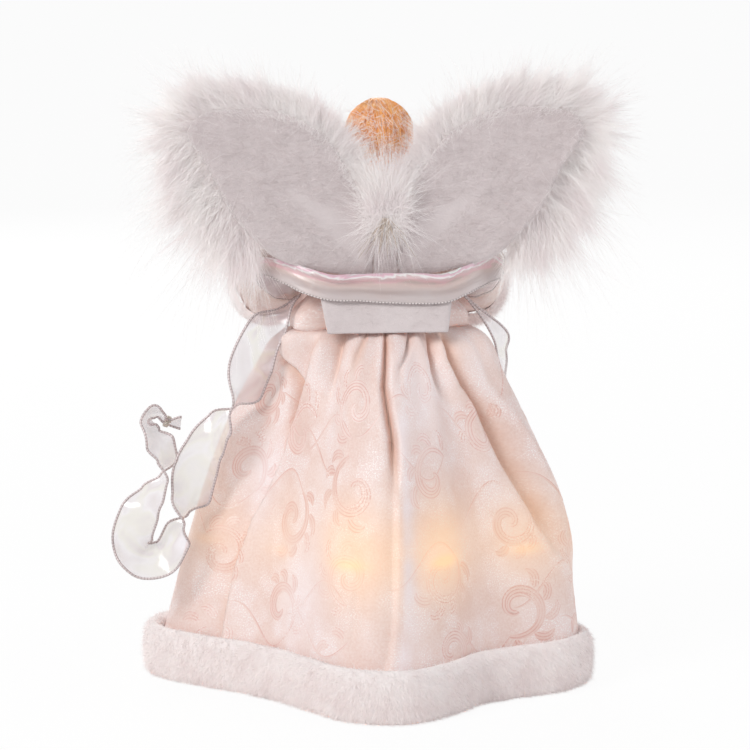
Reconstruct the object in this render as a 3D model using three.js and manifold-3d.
// Lighted angel tree topper: a plastic support cone under a brocade gown, felt wings edged with marabou,
// and a sheer wired ribbon worn as a stole. Millimetres, +Z up, face towards -Y, left arm towards +X.
// The origin is on the cone's axis where the rim and the hem rest on the table.
import * as THREE from "three";
import { mergeVertices } from "three/addons/utils/BufferGeometryUtils.js";
import Module from "manifold-3d";

const wasm = await Module();
wasm.setup();

// Air between pieces that seat on each other.
const CLEARANCE = 0.3;

// Support cone that drops over the tree's tip.
const CONE_HEIGHT = 163;
const CONE_BASE_RADIUS = 47;
const CONE_TOP_RADIUS = 20;
const CONE_WALL = 1.2;
const CONE_RIM_WIDTH = 5;
const CONE_RIM_THICKNESS = 1.6;
const CONE_CAP_THICKNESS = 2;
const LEAD_NOTCH_WIDTH = 6;
const LEAD_NOTCH_HEIGHT = 5;

// Ring of lamps pushed through the cone from inside.
const LAMP_COUNT = 10;
const LAMP_HEIGHT = 66;
const LAMP_TURN = -18;
const HOLDER_RADIUS = 4;
const HOLDER_COLLAR_RADIUS = 5.6;
const HOLDER_COLLAR_THICKNESS = 1.6;
const HOLDER_TAIL = 13;
const HOLDER_FRONT = 3.5;
const SOCKET_RADIUS = 2.7;
const SOCKET_DEPTH = 9;
const BULB_RADIUS = 2.4;
const BULB_REACH = 9;
const WIRE_RADIUS = 0.9;
const WIRE_SAG = 4;

// Moulded torso and the fabric bodice over it.
const TORSO_HEIGHT = 55;
const WAIST_HALF_WIDTH = 26;
const WAIST_HALF_DEPTH = 20.5;
const CHEST_HALF_WIDTH = 28;
const CHEST_HALF_DEPTH = 21;
const PEG_RADIUS = 8;
const PEG_LENGTH = 14;
const NECK_RADIUS = 5.6;
const NECK_LENGTH = 11;
const NECK_BORE_RADIUS = 3.5;
const NECK_BORE_DEPTH = 8.5;
const BODICE_THICKNESS = 1.2;

// Gathered skirt with five deep folds, and its fur hem.
const SKIRT_BOTTOM = 5;
const SKIRT_THICKNESS = 1.4;
const SKIRT_FLARE = 0.5;
const HEM_VALLEY_RADIUS = 66;
const FOLD_ANGLES = [4, 105, 165, 226, 286];
const FOLD_DEPTHS = [32, 41, 35, 35, 29];
const FOLD_WIDTH = 27;
const SIDE_FULLNESS = 6.8;
const SIDE_FULLNESS_ANGLE = 284;
const SIDE_FULLNESS_WIDTH = 30;
const GATHER_COUNT = 16;
const GATHER_DEPTH = 3.2;
const HEM_FUR_HEIGHT = 26;
const HEM_FUR_THICKNESS = 7;

// Felt: waist tab, wing spine and the two wings.
const FELT_THICKNESS = 2;
const TAB_TOP_WIDTH = 63;
const TAB_BOTTOM_WIDTH = 55;
const SPINE_WIDTH = 10;
const SPINE_HEIGHT = 22;
const HINGE_GAP = 0.6;
const WING_SPAN = 84.5;
const WING_HEIGHT = 77;
const WING_SWEEP = 6;

// Marabou along the wing edges and at the spine.
const BOA_INSET = 7;
const BOA_REACH_NECK = 8;
const BOA_REACH_TIP = 20;
const BOA_DEPTH_NECK = 3.2;
const BOA_DEPTH_TIP = 8;
const TUFT_WIDTH = 15;
const TUFT_HEIGHT = 36;
const TUFT_DEPTH = 7;

// Head and hair.
const HEAD_HEIGHT = 38;
const HEAD_WIDTH = 25.6;
const HEAD_DEPTH = 28;
const HAIR_THICKNESS = 2.8;

// Arms: wire core, bell sleeve, fur cuff and moulded hand.
const SHOULDER_DROP = 14;
const SHOULDER_INSET = 5;
const LEFT_CUFF_OUT = 48;
const RIGHT_CUFF_OUT = 45;
const CUFF_FORWARD = 34;
const CUFF_DROP = 24;
const ELBOW_OUT = 30;
const ELBOW_BACK = 14;
const SLEEVE_TOP_RADIUS = 10;
const SLEEVE_CUFF_RADIUS = 15;
const SLEEVE_THICKNESS = 1.2;
const CUFF_THICKNESS = 5.5;
const CUFF_WIDTH = 12;
const ARM_WIRE_RADIUS = 1.2;
const HAND_LENGTH = 24;
const HAND_WIDTH = 12;

// Wired ribbon.
const RIBBON_THICKNESS = 0.8;
const RIBBON_WIDTH = 22;
const SASH_WIDTH = 14;
const TIE_RADIUS = 2.3;
const TIE_THREAD = 0.7;

const rad = THREE.MathUtils.degToRad;

// A point at an angle from the back of the figure, turning towards the left arm.
function polar(angle, radius, z) {
  return new THREE.Vector3(radius * Math.sin(rad(angle)), radius * Math.cos(rad(angle)), z);
}

function vec(x, y, z) {
  return new THREE.Vector3(x, y, z);
}

// Turns a closed surface so that its faces point out.
function facingOut(points, index) {
  let volume = 0;
  for (let i = 0; i < index.length; i += 3) {
    const [a, b, c] = [points[index[i]], points[index[i + 1]], points[index[i + 2]]];
    volume += a.dot(b.clone().cross(c));
  }
  if (volume < 0) {
    index.reverse();
  }
  const geometry = new THREE.BufferGeometry().setFromPoints(points);
  geometry.setIndex(index);
  geometry.computeVertexNormals();
  return geometry;
}

// Skins a row of rings. A looped row joins its last ring to its first, an open row gets two end caps.
function skin(rings, looped) {
  const count = rings[0].length;
  const points = rings.flat();
  const index = [];
  const bands = looped ? rings.length : rings.length - 1;
  for (let i = 0; i < bands; i++) {
    const here = i * count;
    const next = ((i + 1) % rings.length) * count;
    for (let j = 0; j < count; j++) {
      const k = (j + 1) % count;
      index.push(here + j, next + j, next + k, here + j, next + k, here + k);
    }
  }
  if (!looped) {
    const last = (rings.length - 1) * count;
    const caps = [rings[0], rings[rings.length - 1]].map((ring) => {
      const centre = ring.reduce((sum, p) => sum.add(p), vec(0, 0, 0)).divideScalar(count);
      points.push(centre);
      return points.length - 1;
    });
    for (let j = 0; j < count; j++) {
      const k = (j + 1) % count;
      index.push(caps[0], j, k);
      index.push(caps[1], last + k, last + j);
    }
  }
  return facingOut(points, index);
}

function ellipseRing(centre, u, v, a, b, sides) {
  const ring = [];
  for (let j = 0; j < sides; j++) {
    const angle = (2 * Math.PI * j) / sides;
    const p = centre.clone();
    p.addScaledVector(u, a * Math.cos(angle));
    p.addScaledVector(v, b * Math.sin(angle));
    ring.push(p);
  }
  return ring;
}

const X_AXIS = vec(1, 0, 0);
const Y_AXIS = vec(0, 1, 0);
const Z_AXIS = vec(0, 0, 1);

// A level oval ring, for pieces stacked along Z.
function levelRing(y, z, a, b, sides) {
  return ellipseRing(vec(0, y, z), X_AXIS, Y_AXIS, a, b, sides);
}

// A solid of revolution about Z from rows of radius and height, capped at its two ends or looped.
function turned(profile, sides, looped) {
  return skin(
    profile.map(([radius, z]) => levelRing(0, z, radius, radius, sides)),
    looped,
  );
}

function solid(geometry) {
  const bare = new THREE.BufferGeometry();
  bare.setAttribute("position", geometry.getAttribute("position"));
  bare.setIndex(geometry.index);
  const merged = mergeVertices(bare, 1e-4);
  return new wasm.Manifold(
    new wasm.Mesh({
      numProp: 3,
      vertProperties: merged.attributes.position.array,
      triVerts: new Uint32Array(merged.index.array),
    }),
  );
}

function geometryOf(body) {
  const mesh = body.getMesh();
  const geometry = new THREE.BufferGeometry();
  geometry.setAttribute("position", new THREE.BufferAttribute(new Float32Array(mesh.vertProperties), 3));
  geometry.setIndex(new THREE.BufferAttribute(new Uint32Array(mesh.triVerts), 1));
  geometry.computeVertexNormals();
  return geometry;
}

// A round bar between two points, used as a cutter.
function bar(from, to, radius, sides) {
  const along = to.clone().sub(from).normalize();
  const u = Math.abs(along.z) < 0.9 ? along.clone().cross(Z_AXIS) : along.clone().cross(X_AXIS);
  u.normalize();
  const v = along.clone().cross(u);
  return skin([ellipseRing(from, u, v, radius, radius, sides), ellipseRing(to, u, v, radius, radius, sides)], false);
}

const brocade = new THREE.MeshStandardMaterial({ color: 0xf3dcd2, roughness: 0.5 });
const fur = new THREE.MeshStandardMaterial({ color: 0xf2ecec, roughness: 1 });
const marabou = new THREE.MeshStandardMaterial({ color: 0xf4f1f2, roughness: 1 });
const felt = new THREE.MeshStandardMaterial({ color: 0xd4cacb, roughness: 1 });
const ribbonFilm = new THREE.MeshStandardMaterial({ color: 0xe6dede, roughness: 0.25 });
const thread = new THREE.MeshStandardMaterial({ color: 0xd9d3d0, roughness: 0.7 });
const conePlastic = new THREE.MeshStandardMaterial({ color: 0xefece6, roughness: 0.5 });
const torsoPlastic = new THREE.MeshStandardMaterial({ color: 0xe9dfd3, roughness: 0.6 });
const holderPlastic = new THREE.MeshStandardMaterial({ color: 0xe8e6df, roughness: 0.45 });
const lampGlass = new THREE.MeshStandardMaterial({ color: 0xffe2b0, roughness: 0.1 });
const wireSleeve = new THREE.MeshStandardMaterial({ color: 0xf0efe9, roughness: 0.5 });
const steel = new THREE.MeshStandardMaterial({ color: 0xb9bcc0, roughness: 0.35, metalness: 1 });
const skinVinyl = new THREE.MeshStandardMaterial({ color: 0xf0c6ac, roughness: 0.5 });
const hairFibre = new THREE.MeshStandardMaterial({ color: 0xd08a45, roughness: 0.5 });

const angel = new THREE.Group();
angel.name = "angel_tree_topper";
const leftWing = new THREE.Group();
leftWing.name = "left_wing";
const rightWing = new THREE.Group();
rightWing.name = "right_wing";
angel.add(leftWing, rightWing);

function add(name, geometry, material, parent = angel) {
  const mesh = new THREE.Mesh(geometry, material);
  mesh.name = name;
  parent.add(mesh);
}

// Support cone: open below, capped above, with a socket for the torso peg, lamp holes and a lead notch.
function coneRadius(z) {
  return CONE_BASE_RADIUS + ((CONE_TOP_RADIUS - CONE_BASE_RADIUS) * z) / CONE_HEIGHT;
}
const coneSlope = Math.atan((CONE_BASE_RADIUS - CONE_TOP_RADIUS) / CONE_HEIGHT);
const lampAngles = Array.from({ length: LAMP_COUNT }, (_, i) => LAMP_TURN + (360 / LAMP_COUNT) * i);

function lampFrame(angle) {
  const out = polar(angle, Math.cos(coneSlope), Math.sin(coneSlope));
  const frame = new THREE.Matrix4().makeRotationFromQuaternion(
    new THREE.Quaternion().setFromUnitVectors(Z_AXIS, out),
  );
  return frame.setPosition(polar(angle, coneRadius(LAMP_HEIGHT), LAMP_HEIGHT));
}

const coneShell = turned(
  [
    [CONE_BASE_RADIUS - CONE_WALL, 0],
    [CONE_BASE_RADIUS + CONE_RIM_WIDTH, 0],
    [CONE_BASE_RADIUS + CONE_RIM_WIDTH, CONE_RIM_THICKNESS],
    [coneRadius(CONE_RIM_THICKNESS), CONE_RIM_THICKNESS],
    [CONE_TOP_RADIUS, CONE_HEIGHT],
    [PEG_RADIUS + CLEARANCE, CONE_HEIGHT],
    [PEG_RADIUS + CLEARANCE, CONE_HEIGHT - CONE_CAP_THICKNESS],
    [coneRadius(CONE_HEIGHT - CONE_CAP_THICKNESS) - CONE_WALL, CONE_HEIGHT - CONE_CAP_THICKNESS],
  ],
  40,
  true,
);
let coneBody = solid(coneShell);
for (const angle of lampAngles) {
  const hole = bar(vec(0, 0, -6), vec(0, 0, 6), HOLDER_RADIUS + CLEARANCE, 10);
  coneBody = coneBody.subtract(solid(hole.applyMatrix4(lampFrame(angle))));
}
const notch = new THREE.BoxGeometry(LEAD_NOTCH_WIDTH, 30, 2 * LEAD_NOTCH_HEIGHT);
notch.translate(0, CONE_BASE_RADIUS, 0);
coneBody = coneBody.subtract(solid(notch));
add("support_cone", geometryOf(coneBody), conePlastic);

// Lamp holders sit through the cone wall with their collars inside; a bulb plugs into each.
const insideRadius = coneRadius(LAMP_HEIGHT) - CONE_WALL;
const collarSag = insideRadius - Math.sqrt(insideRadius ** 2 - HOLDER_COLLAR_RADIUS ** 2);
const collarFront = -(CONE_WALL + collarSag + CLEARANCE);
const collarBack = collarFront - HOLDER_COLLAR_THICKNESS;
lampAngles.forEach((angle, i) => {
  const label = String(i + 1).padStart(2, "0");
  const holder = turned(
    [
      [HOLDER_RADIUS, -HOLDER_TAIL],
      [HOLDER_RADIUS, collarBack],
      [HOLDER_COLLAR_RADIUS, collarBack],
      [HOLDER_COLLAR_RADIUS, collarFront],
      [HOLDER_RADIUS, collarFront],
      [HOLDER_RADIUS, HOLDER_FRONT],
      [SOCKET_RADIUS, HOLDER_FRONT],
      [SOCKET_RADIUS, HOLDER_FRONT - SOCKET_DEPTH],
    ],
    8,
    false,
  );
  add("lamp_holder_" + label, holder.applyMatrix4(lampFrame(angle)), holderPlastic);
  const bulb = turned(
    [
      [BULB_RADIUS, HOLDER_FRONT - SOCKET_DEPTH + CLEARANCE],
      [BULB_RADIUS, HOLDER_FRONT + 0.6 * BULB_REACH],
      [0.72 * BULB_RADIUS, HOLDER_FRONT + 0.85 * BULB_REACH],
      [0.2 * BULB_RADIUS, HOLDER_FRONT + BULB_REACH],
    ],
    8,
    false,
  );
  add("lamp_bulb_" + label, bulb.applyMatrix4(lampFrame(angle)), lampGlass);
});

// Lamp wire: a closed loop inside the cone that passes the back of each holder and sags between them.
const wirePoints = [];
for (const angle of lampAngles) {
  const back = vec(0, 0, -HOLDER_TAIL - CLEARANCE - WIRE_RADIUS).applyMatrix4(lampFrame(angle));
  const half = 180 / LAMP_COUNT;
  wirePoints.push(back);
  wirePoints.push(polar(angle + half, Math.hypot(back.x, back.y), back.z - WIRE_SAG));
}
const wirePath = new THREE.CatmullRomCurve3(wirePoints, true);
add("lamp_wire", new THREE.TubeGeometry(wirePath, 4 * LAMP_COUNT, WIRE_RADIUS, 6, true), wireSleeve);

// Torso outline by height share: half width and half depth.
const torsoStations = [
  [0, WAIST_HALF_WIDTH, WAIST_HALF_DEPTH],
  [0.17, 0.97 * WAIST_HALF_WIDTH, 0.97 * WAIST_HALF_DEPTH],
  [0.45, CHEST_HALF_WIDTH, CHEST_HALF_DEPTH],
  [0.7, 0.96 * CHEST_HALF_WIDTH, 0.88 * CHEST_HALF_DEPTH],
  [0.9, 0.72 * CHEST_HALF_WIDTH, 0.62 * CHEST_HALF_DEPTH],
  [1, NECK_RADIUS + 3, NECK_RADIUS + 2],
];
const torsoBase = CONE_HEIGHT + CLEARANCE;
const neckTop = torsoBase + TORSO_HEIGHT + NECK_LENGTH;

function torsoAt(share) {
  let i = 0;
  while (i < torsoStations.length - 2 && torsoStations[i + 1][0] < share) {
    i++;
  }
  const [s0, a0, b0] = torsoStations[i];
  const [s1, a1, b1] = torsoStations[i + 1];
  const mix = THREE.MathUtils.clamp((share - s0) / (s1 - s0), 0, 1);
  return [a0 + (a1 - a0) * mix, b0 + (b1 - b0) * mix];
}

function torsoRing(share, offset) {
  const [a, b] = torsoAt(share);
  return levelRing(0, torsoBase + share * TORSO_HEIGHT, a + offset, b + offset, 28);
}

// The arm's centre line from inside the shoulder, round the elbow to the cuff.
function armPath(side) {
  const cuffOut = side > 0 ? LEFT_CUFF_OUT : RIGHT_CUFF_OUT;
  const shoulderZ = torsoBase + TORSO_HEIGHT - SHOULDER_DROP;
  const shoulderX = CHEST_HALF_WIDTH - SHOULDER_INSET;
  return new THREE.QuadraticBezierCurve3(
    vec(side * shoulderX, 0, shoulderZ),
    vec(side * (shoulderX + ELBOW_OUT), ELBOW_BACK, shoulderZ - 0.5 * CUFF_DROP),
    vec(side * cuffOut, -CUFF_FORWARD, shoulderZ - CUFF_DROP),
  );
}

function armFrame(side, t) {
  const path = armPath(side);
  const along = path.getTangent(t);
  const across = along.clone().cross(Z_AXIS).normalize();
  return { point: path.getPoint(t), along, across, up: across.clone().cross(along) };
}

function sleeveRadius(t) {
  return SLEEVE_TOP_RADIUS + (SLEEVE_CUFF_RADIUS - SLEEVE_TOP_RADIUS) * Math.sqrt(t);
}

const sides = [
  ["left", 1],
  ["right", -1],
];

// Torso: a peg below for the cone's cap, a neck bore above, and a bore at each shoulder for the arm wire.
const pegRing = (z) => levelRing(0, z, PEG_RADIUS, PEG_RADIUS, 28);
const boreRing = (z) => levelRing(0, z, NECK_BORE_RADIUS, NECK_BORE_RADIUS, 28);
let torsoBody = solid(
  skin(
    [
      pegRing(CONE_HEIGHT - PEG_LENGTH),
      pegRing(torsoBase),
      ...torsoStations.map(([share]) => torsoRing(share, 0)),
      levelRing(0, torsoBase + TORSO_HEIGHT + 2, NECK_RADIUS, NECK_RADIUS, 28),
      levelRing(0, neckTop, NECK_RADIUS, NECK_RADIUS, 28),
      boreRing(neckTop),
      boreRing(neckTop - NECK_BORE_DEPTH),
    ],
    false,
  ),
);
const bodiceShares = [0.03, 0.17, 0.45, 0.7, 0.9];
const bodiceOuter = CLEARANCE + BODICE_THICKNESS;
let bodiceBody = solid(
  skin(
    [
      ...bodiceShares.map((share) => torsoRing(share, bodiceOuter)),
      ...bodiceShares.toReversed().map((share) => torsoRing(share, CLEARANCE)),
    ],
    true,
  ),
);
const bodiceEnvelope = solid(
  skin(
    torsoStations.map(([share]) => torsoRing(share, bodiceOuter + CLEARANCE)),
    false,
  ),
);
for (const [, side] of sides) {
  const start = armFrame(side, 0);
  const inner = start.point.clone().addScaledVector(start.along, -6);
  const outer = start.point.clone().addScaledVector(start.along, 16);
  torsoBody = torsoBody.subtract(solid(bar(inner, outer, ARM_WIRE_RADIUS + 3 * CLEARANCE, 8)));
  bodiceBody = bodiceBody.subtract(solid(bar(inner, outer, ARM_WIRE_RADIUS + 4 * CLEARANCE, 8)));
}
add("torso", geometryOf(torsoBody), torsoPlastic);
add("bodice", geometryOf(bodiceBody), brocade);

// Skirt: gathered onto the bodice at the waist, opening into five deep folds at the hem.
const skirtTop = torsoBase + 0.05 * TORSO_HEIGHT;
const SKIRT_SIDES = 64;
const skirtAngles = Array.from({ length: SKIRT_SIDES }, (_, i) => (360 / SKIRT_SIDES) * i);

// Degrees from a fold's middle, by the shorter way round.
function turnedFrom(angle, middle) {
  return ((((angle - middle + 180) % 360) + 360) % 360) - 180;
}

function foldDepth(angle) {
  return FOLD_ANGLES.reduce((sum, fold, i) => {
    return sum + FOLD_DEPTHS[i] * Math.exp(-((turnedFrom(angle, fold) / FOLD_WIDTH) ** 2));
  }, 0);
}

function skirtRadius(angle, z) {
  const drop = THREE.MathUtils.clamp((skirtTop - z) / (skirtTop - SKIRT_BOTTOM), 0, 1);
  const a = WAIST_HALF_WIDTH + bodiceOuter + CLEARANCE + SKIRT_THICKNESS;
  const b = WAIST_HALF_DEPTH + bodiceOuter + CLEARANCE + SKIRT_THICKNESS;
  const oval = (a * b) / Math.hypot(b * Math.sin(rad(angle)), a * Math.cos(rad(angle)));
  const gather = GATHER_DEPTH * (0.5 + 0.5 * Math.cos(rad(GATHER_COUNT * angle))) * (1 - drop) ** 2;
  const hem = HEM_VALLEY_RADIUS + foldDepth(angle);
  const beside = Math.exp(-((turnedFrom(angle, SIDE_FULLNESS_ANGLE) / SIDE_FULLNESS_WIDTH) ** 2));
  const full = SIDE_FULLNESS * beside * Math.max(Math.sin(Math.PI * drop), 0) ** 1.6;
  return oval + gather + (hem - oval) * drop ** SKIRT_FLARE + full;
}

const skirtDrops = [0, 0.03, 0.09, 0.2, 0.35, 0.52, 0.7, 0.86, 1];
function skirtRing(drop, inset) {
  const z = skirtTop + (SKIRT_BOTTOM - skirtTop) * drop;
  return skirtAngles.map((angle) => polar(angle, skirtRadius(angle, z) - inset, z));
}
const skirtRings = [
  ...skirtDrops.map((drop) => skirtRing(drop, 0)),
  ...skirtDrops.toReversed().map((drop) => skirtRing(drop, SKIRT_THICKNESS)),
];
add("skirt", skin(skirtRings, true), brocade);

// Hem fur: a plump band round the outside of the skirt, flat where it rests on the table.
const hemRings = skirtAngles.map((angle) => {
  const seat = (z) => skirtRadius(angle, z) + CLEARANCE;
  const face = seat(0.5 * HEM_FUR_HEIGHT) + HEM_FUR_THICKNESS;
  return [
    [seat(SKIRT_BOTTOM), 0],
    [seat(SKIRT_BOTTOM), SKIRT_BOTTOM],
    [seat(0.5 * HEM_FUR_HEIGHT), 0.5 * HEM_FUR_HEIGHT],
    [seat(0.92 * HEM_FUR_HEIGHT), 0.92 * HEM_FUR_HEIGHT],
    [seat(HEM_FUR_HEIGHT) + 0.35 * HEM_FUR_THICKNESS, HEM_FUR_HEIGHT],
    [face - 0.18 * HEM_FUR_THICKNESS, 0.84 * HEM_FUR_HEIGHT],
    [face, 0.5 * HEM_FUR_HEIGHT],
    [face - 0.12 * HEM_FUR_THICKNESS, 0.16 * HEM_FUR_HEIGHT],
    [face - 0.4 * HEM_FUR_THICKNESS, 0],
  ].map(([radius, z]) => polar(angle, radius, z));
});
add("hem_fur", skin(hemRings, true), fur);

// Felt waist tab: a flat trapezoid over the skirt's gathers, leaning out towards its lower edge.
const wingBase = torsoBase + 0.5 * TORSO_HEIGHT;
const spineFront = CHEST_HALF_DEPTH + bodiceOuter + CLEARANCE;
const tabTop = wingBase - CLEARANCE - 0.5;
const tabBottom = skirtTop - 0.5;
const tabFrontTop = spineFront;
const tabFrontBottom = skirtRadius(0, tabBottom) + 2 * CLEARANCE;
function tabRing(offset) {
  return [
    vec(-0.5 * TAB_TOP_WIDTH, tabFrontTop + offset, tabTop),
    vec(0.5 * TAB_TOP_WIDTH, tabFrontTop + offset, tabTop),
    vec(0.5 * TAB_BOTTOM_WIDTH, tabFrontBottom + offset, tabBottom),
    vec(-0.5 * TAB_BOTTOM_WIDTH, tabFrontBottom + offset, tabBottom),
  ];
}
add("waist_tab", skin([tabRing(0), tabRing(FELT_THICKNESS)], false), felt);

// Wing spine: the fixed felt strip that both wings fold from.
const spine = new THREE.BoxGeometry(SPINE_WIDTH, FELT_THICKNESS, SPINE_HEIGHT);
spine.translate(0, spineFront + 0.5 * FELT_THICKNESS, wingBase + 0.5 * SPINE_HEIGHT);
add("wing_spine", spine, felt);

// Wing outline from the top of the root over the tip to the foot of the root, in shares of span and height.
const wingOutline = [
  [0, 0.29],
  [0.05, 0.43],
  [0.155, 0.655],
  [0.28, 0.838],
  [0.47, 0.952],
  [0.64, 0.99],
  [0.78, 0.985],
  [0.93, 0.95],
  [0.995, 0.85],
  [0.884, 0.639],
  [0.762, 0.378],
  [0.63, 0.212],
  [0.525, 0.11],
  [0.24, 0.02],
  [0, 0],
];
const wingRoot = 0.5 * SPINE_WIDTH + HINGE_GAP;
const wingCurve = new THREE.CatmullRomCurve3(
  wingOutline.map(([u, v]) => vec(u * WING_SPAN, v * WING_HEIGHT, 0)),
  false,
  "centripetal",
);

// Puts a point of the flat wing, with its depth behind the felt's front face, on the swept-back wing.
function onWing(side, u, v, depth) {
  const sweep = WING_SWEEP * (u / WING_SPAN) ** 2;
  return vec(side * (wingRoot + u), spineFront + sweep + depth, wingBase + v);
}

function wingFelt(side) {
  const edge = wingCurve.getSpacedPoints(46).map((p) => new THREE.Vector2(Math.max(p.x, 0), p.y));
  const faces = THREE.ShapeUtils.triangulateShape(edge, []);
  const count = edge.length;
  const points = [0, FELT_THICKNESS].flatMap((depth) => edge.map((p) => onWing(side, p.x, p.y, depth)));
  const index = [];
  for (const [a, b, c] of faces) {
    index.push(a, b, c, count + a, count + c, count + b);
  }
  // The outline runs clockwise or not by the point order, so the rim follows the caps' own winding.
  const area = THREE.ShapeUtils.area(edge);
  for (let j = 0; j < count; j++) {
    const k = (j + 1) % count;
    if (area > 0) {
      index.push(k, j, count + j, k, count + j, count + k);
    } else {
      index.push(j, k, count + k, j, count + k, count + j);
    }
  }
  return facingOut(points, index);
}

// Marabou boa sewn along the wing's edge on its front face, thin by the neck and full towards the tip.
function wingBoa(side) {
  const rings = [];
  const steps = 34;
  for (let i = 0; i <= steps; i++) {
    const share = i / steps;
    const t = 0.09 + 0.65 * share;
    const p = wingCurve.getPointAt(t);
    const along = wingCurve.getTangentAt(t);
    const out = vec(-along.y, along.x, 0);
    const full = THREE.MathUtils.smoothstep(share, 0, 0.45);
    const end = Math.sqrt(Math.min(1, 6 * share + 0.25, 6 * (1 - share) + 0.25));
    const reach = end * (BOA_REACH_NECK + (BOA_REACH_TIP - BOA_REACH_NECK) * full);
    const depth = end * (BOA_DEPTH_NECK + (BOA_DEPTH_TIP - BOA_DEPTH_NECK) * full);
    const inset = end * BOA_INSET;
    const ring = [];
    for (let j = 0; j < 8; j++) {
      const angle = (2 * Math.PI * j) / 8;
      const w = 0.5 * (reach - inset) + 0.5 * (reach + inset) * Math.cos(angle);
      const back = -CLEARANCE - depth + depth * Math.sin(angle);
      const flat = p.clone().addScaledVector(out, w);
      ring.push(onWing(side, Math.max(flat.x, 0.5), flat.y, back - 0.15));
    }
    rings.push(ring);
  }
  return skin(rings, false);
}

for (const [name, side] of sides) {
  const wing = side > 0 ? leftWing : rightWing;
  add(name + "_wing_felt", wingFelt(side), felt, wing);
  add(name + "_wing_boa", wingBoa(side), marabou, wing);
}

// Marabou tuft on the back of the spine, its quills pointing down.
const tuft = new THREE.SphereGeometry(1, 14, 8);
tuft.scale(0.5 * TUFT_WIDTH, 0.5 * TUFT_DEPTH, 0.5 * TUFT_HEIGHT);
tuft.translate(
  0,
  spineFront + FELT_THICKNESS + CLEARANCE + 0.5 * TUFT_DEPTH,
  wingBase + SPINE_HEIGHT + 0.18 * TUFT_HEIGHT,
);
add("spine_tuft", geometryOf(solid(tuft)), marabou);

// Head with neck and peg: height share, half-width share, half-depth share, shift forward.
const headRows = [
  [0.15, 0.42, 0.42, 0.02],
  [0.2, 0.6, 0.66, 0.1],
  [0.3, 0.8, 0.86, 0.1],
  [0.44, 0.95, 0.97, 0.08],
  [0.58, 1, 1, 0.06],
  [0.72, 0.97, 0.99, 0.05],
  [0.86, 0.78, 0.83, 0.04],
  [0.95, 0.46, 0.5, 0.03],
  [1, 0.14, 0.16, 0.03],
];
function headRing([share, a, b, shift], offset, lift) {
  const z = neckTop + CLEARANCE + share * HEAD_HEIGHT + lift;
  return levelRing(-shift * HEAD_DEPTH, z, 0.5 * a * HEAD_WIDTH + offset, 0.5 * b * HEAD_DEPTH + offset, 20);
}
const headPeg = NECK_BORE_RADIUS - CLEARANCE;
const skull = skin(
  [
    levelRing(0, neckTop - NECK_BORE_DEPTH + CLEARANCE, headPeg, headPeg, 20),
    levelRing(0, neckTop + CLEARANCE, headPeg, headPeg, 20),
    levelRing(0, neckTop + CLEARANCE, NECK_RADIUS, NECK_RADIUS, 20),
    ...headRows.map((row) => headRing(row, 0, 0)),
  ],
  false,
);
const nose = new THREE.SphereGeometry(1, 8, 6);
nose.scale(1.6, 2.2, 2.2);
nose.translate(0, -0.57 * HEAD_DEPTH, neckTop + 0.46 * HEAD_HEIGHT);
add("head", geometryOf(solid(skull).add(solid(nose))), skinVinyl);

// Hair: a swept cap over the crown and nape, open at the face.
const hairRows = headRows.slice(2);
const hairOuter = skin(
  hairRows.map((row) => {
    const thick = HAIR_THICKNESS * Math.sqrt(1.05 - row[0] ** 4);
    return headRing(row, thick, HAIR_THICKNESS * row[0] ** 2);
  }),
  false,
);
const headEnvelope = skin(
  [
    headRing(headRows[0], CLEARANCE, -HEAD_HEIGHT * 0.1),
    ...headRows.map((row) => headRing(row, CLEARANCE, 0)),
    headRing(headRows[headRows.length - 1], 0, CLEARANCE),
  ],
  false,
);
const faceOpening = new THREE.SphereGeometry(1, 16, 10);
faceOpening.scale(0.46 * HEAD_WIDTH, 0.45 * HEAD_DEPTH, 0.42 * HEAD_HEIGHT);
faceOpening.translate(0, -0.62 * HEAD_DEPTH, neckTop + 0.4 * HEAD_HEIGHT);
const hairBody = solid(hairOuter).subtract(solid(headEnvelope)).subtract(solid(faceOpening));
add("hair", geometryOf(hairBody), hairFibre);

// Sleeves, ribbon loops round them, fur cuffs, arm wires and hands.
function sleeveShell(side, from, to, inner, outer, steps) {
  const rows = Array.from({ length: steps + 1 }, (_, i) => from + ((to - from) * i) / steps);
  const ring = (t, offset) => {
    const frame = armFrame(side, t);
    const radius = sleeveRadius(t) + offset;
    return ellipseRing(frame.point, frame.across, frame.up, radius, radius, 16);
  };
  return skin([...rows.map((t) => ring(t, outer)), ...rows.toReversed().map((t) => ring(t, inner))], true);
}

function fingeredHand(side) {
  const { point, along, across, up } = armFrame(side, 1);
  const at = (w) => point.clone().addScaledVector(along, w);
  const ring = (w, a, b) => ellipseRing(at(w), across, up, a, b, 12);
  const bore = ARM_WIRE_RADIUS + CLEARANCE;
  const half = 0.5 * HAND_WIDTH;
  const palm = skin(
    [
      ring(4, bore, bore),
      ring(-4, bore, bore),
      ring(-4, 0.7 * half, 0.6 * half),
      ring(0.2 * HAND_LENGTH, 0.75 * half, 0.55 * half),
      ring(0.42 * HAND_LENGTH, half, 0.5 * half),
      ring(0.66 * HAND_LENGTH, 0.95 * half, 0.44 * half),
      ring(0.9 * HAND_LENGTH, 0.66 * half, 0.34 * half),
      ring(HAND_LENGTH, 0.25 * half, 0.18 * half),
    ],
    false,
  );
  const thumbRoot = at(0.34 * HAND_LENGTH).addScaledVector(across, -side * 0.55 * half);
  const thumbTip = at(0.68 * HAND_LENGTH).addScaledVector(across, -side * 1.45 * half);
  const thumb = bar(thumbRoot, thumbTip, 0.28 * half, 8);
  return geometryOf(solid(palm).add(solid(thumb)));
}

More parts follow.
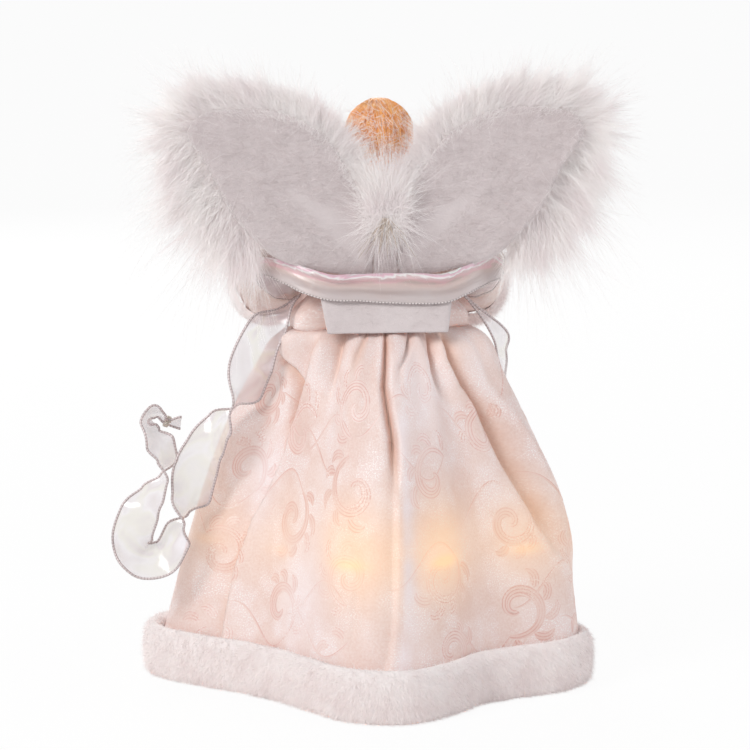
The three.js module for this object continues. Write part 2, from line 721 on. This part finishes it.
for (const [name, side] of sides) {
  const sleeve = solid(sleeveShell(side, 0, 1, -SLEEVE_THICKNESS, 0, 9)).subtract(bodiceEnvelope);
  add(name + "_sleeve", geometryOf(sleeve), brocade);

  const end = armFrame(side, 1);
  const seat = SLEEVE_CUFF_RADIUS + 2 * CLEARANCE;
  const cuffRings = Array.from({ length: 20 }, (_, i) => {
    const angle = (2 * Math.PI * i) / 20;
    const radial = end.across.clone().multiplyScalar(Math.cos(angle)).addScaledVector(end.up, Math.sin(angle));
    return [
      [0, -0.5],
      [0, 0.42],
      [0.35, 0.56],
      [0.8, 0.45],
      [1, 0],
      [0.85, -0.4],
      [0.4, -0.56],
    ].map(([share, w]) =>
      end.point
        .clone()
        .addScaledVector(radial, seat + share * CUFF_THICKNESS)
        .addScaledVector(end.along, (w - 0.1) * CUFF_WIDTH),
    );
  });
  add(name + "_cuff", skin(cuffRings, true), fur);

  const start = armFrame(side, 0);
  const wireRings = [start.point.clone().addScaledVector(start.along, -5)];
  for (const t of [0, 0.15, 0.3, 0.45, 0.6, 0.75, 0.9, 1]) {
    wireRings.push(armFrame(side, t).point);
  }
  wireRings.push(end.point.clone().addScaledVector(end.along, 4 - CLEARANCE));
  const wireRow = wireRings.map((point, i) => {
    const frame = armFrame(side, THREE.MathUtils.clamp([0, 0, 0.15, 0.3, 0.45, 0.6, 0.75, 0.9, 1, 1][i], 0, 1));
    return ellipseRing(point, frame.across, frame.up, ARM_WIRE_RADIUS, ARM_WIRE_RADIUS, 6);
  });
  add(name + "_arm_wire", skin(wireRow, false), steel);
  add(name + "_hand", fingeredHand(side), skinVinyl);
}

// A ribbon along points that each carry a width and the direction across the ribbon.
function ribbon(stations, steps) {
  const path = new THREE.CatmullRomCurve3(
    stations.map((s) => s.at),
    false,
    "centripetal",
  );
  const rings = [];
  for (let i = 0; i <= steps; i++) {
    const share = (i / steps) * (stations.length - 1);
    const j = Math.min(Math.floor(share), stations.length - 2);
    const mix = THREE.MathUtils.smoothstep(share - j, 0, 1);
    const along = path.getTangent(i / steps);
    const across = stations[j].across.clone().lerp(stations[j + 1].across, mix);
    across.addScaledVector(along, -across.dot(along)).normalize();
    const face = along.clone().cross(across);
    const half = 0.5 * (stations[j].width + (stations[j + 1].width - stations[j].width) * mix);
    const point = path.getPoint(i / steps);
    rings.push(
      [
        [-1, -0.5],
        [1, -0.5],
        [1, 0.5],
        [-1, 0.5],
      ].map(([w, h]) =>
        point
          .clone()
          .addScaledVector(across, w * half)
          .addScaledVector(face, h * RIBBON_THICKNESS),
      ),
    );
  }
  return skin(rings, false);
}

// Sash: across the back over the waist tab, up to the loop round each sleeve.
const LOOP_FROM = 0.32;
const LOOP_TO = 0.56;
const loopMiddle = 0.5 * (LOOP_FROM + LOOP_TO);
const loopInner = 2 * CLEARANCE;
const loopOuter = sleeveRadius(loopMiddle) + loopInner + RIBBON_THICKNESS;
const sashZ = tabTop - 0.5 * SASH_WIDTH + 1;
const tabLean = (tabFrontBottom - tabFrontTop) / (tabTop - tabBottom);
const sashY = tabFrontTop + FELT_THICKNESS + tabLean * (tabTop - sashZ + 0.5 * SASH_WIDTH) + 0.8;

// A point off the loop's outside in a direction of the room, square to the arm.
function loopPoint(side, towards, off) {
  const frame = armFrame(side, loopMiddle);
  const radial = towards.clone().addScaledVector(frame.along, -towards.dot(frame.along)).normalize();
  return frame.point.clone().addScaledVector(radial, loopOuter + off);
}

const sashStations = [];
for (const side of [1, -1]) {
  const arm = armFrame(side, loopMiddle);
  const near = [
    { at: loopPoint(side, vec(0, 0.1, 1), 1.6), across: arm.along.clone(), width: 0.6 * SASH_WIDTH },
    { at: loopPoint(side, vec(0, 0.8, 0.8), 2), across: arm.along.clone(), width: 0.6 * SASH_WIDTH },
    {
      at: loopPoint(side, vec(0, 1, 0.1), 4).addScaledVector(arm.along, -3),
      across: arm.along.clone().add(vec(0, 0, -1)),
      width: 0.7 * SASH_WIDTH,
    },
    { at: vec(side * (0.5 * TAB_TOP_WIDTH + 1), sashY, sashZ + 1), across: vec(0, 0, -1), width: SASH_WIDTH },
  ];
  if (side > 0) {
    sashStations.push(...near, { at: vec(0, sashY, sashZ), across: vec(0, 0, -1), width: SASH_WIDTH });
  } else {
    sashStations.push(...near.toReversed());
  }
}
add("sash", ribbon(sashStations, 40), ribbonFilm);

for (const [name, side] of sides) {
  const loop = sleeveShell(side, LOOP_FROM, LOOP_TO, loopInner, loopInner + RIBBON_THICKNESS, 4);
  add(name + "_ribbon_loop", loop, ribbonFilm);
}

// Ribbon tails hang from under the loops: angle from the back, drop below the waist, stand-off from the
// skirt, width share, and the direction across the ribbon.
const leftTail = [
  [72, 0, 26, 0.75, vec(1, 0, 0)],
  [72, 17, 19, 0.85, vec(1, 0, 0)],
  [74, 33, 14, 0.35, vec(0.4, 0.9, 0)],
  [79, 45, 17, 0.45, vec(0.8, 0, 0.6)],
  [81, 59, 21, 0.8, vec(0.9, 0, 0.4)],
  [81, 73, 20, 1, vec(1, 0.1, 0.1)],
  [85, 89, 13, 0.7, vec(0.2, 1, 0)],
  [88, 103, 14, 0.6, vec(0.3, 0.5, 0.8)],
  [88, 109, 26, 0.8, vec(0, 0.3, 1)],
  [86, 99, 40, 1, vec(-0.9, 0.2, 0.4)],
  [84, 82, 40, 0.9, vec(-0.8, 0.2, -0.5)],
  [83, 69, 35, 0.5, vec(-0.2, 1, -0.2)],
  [84, 56, 37, 0.7, vec(0.9, 0.4, 0.2)],
  [87, 47, 42, 0.45, vec(0.5, 0.8, -0.3)],
  [89, 42, 40, 0.3, vec(0.1, 0.9, -0.4)],
  [89, 44, 33, 0.12, vec(0, 1, -0.3)],
  [89, 45, 27, 0.16, vec(0, 1, -0.3)],
];
const rightTail = [
  [-84, 6, 13, 0.5, vec(0.6, 0.7, 0)],
  [-96, 20, 9, 0.6, vec(0.3, 0.9, 0)],
  [-106, 36, 8, 0.6, vec(0.2, 1, 0.1)],
  [-111, 54, 10, 0.85, vec(0.3, 0.9, 0.2)],
  [-116, 72, 11, 0.8, vec(0.5, 0.8, -0.2)],
  [-114, 88, 12, 0.5, vec(0.1, 1, 0)],
  [-118, 102, 13, 0.75, vec(-0.2, 1, 0)],
  [-120, 112, 13, 0.12, vec(0, 1, 0)],
  [-120, 119, 13, 0.2, vec(0, 1, 0)],
];
function tailStations(side, rows) {
  const start = {
    at: loopPoint(side, vec(0, 0.2, -1), 1.25),
    across: armFrame(side, loopMiddle).along.multiplyScalar(side),
    width: 0.2 * RIBBON_WIDTH,
  };
  const hung = rows.map(([angle, drop, off, share, across]) => {
    const z = skirtTop - drop;
    return { at: polar(angle, skirtRadius(angle, z) + off, z), across, width: share * RIBBON_WIDTH };
  });
  return [start, ...hung];
}

function endTie(stations) {
  const [before, knot, after] = stations.slice(-3);
  const along = after.at.clone().sub(before.at).normalize();
  const ring = new THREE.TorusGeometry(TIE_RADIUS, TIE_THREAD, 6, 14);
  ring.applyQuaternion(new THREE.Quaternion().setFromUnitVectors(Z_AXIS, along));
  return ring.translate(knot.at.x, knot.at.y, knot.at.z);
}

for (const [name, side] of sides) {
  const stations = tailStations(side, side > 0 ? leftTail : rightTail);
  add(name + "_ribbon_tail", ribbon(stations, 4 * (stations.length - 1)), ribbonFilm);
  add(name + "_ribbon_tie", endTie(stations), thread);
}

export default angel;
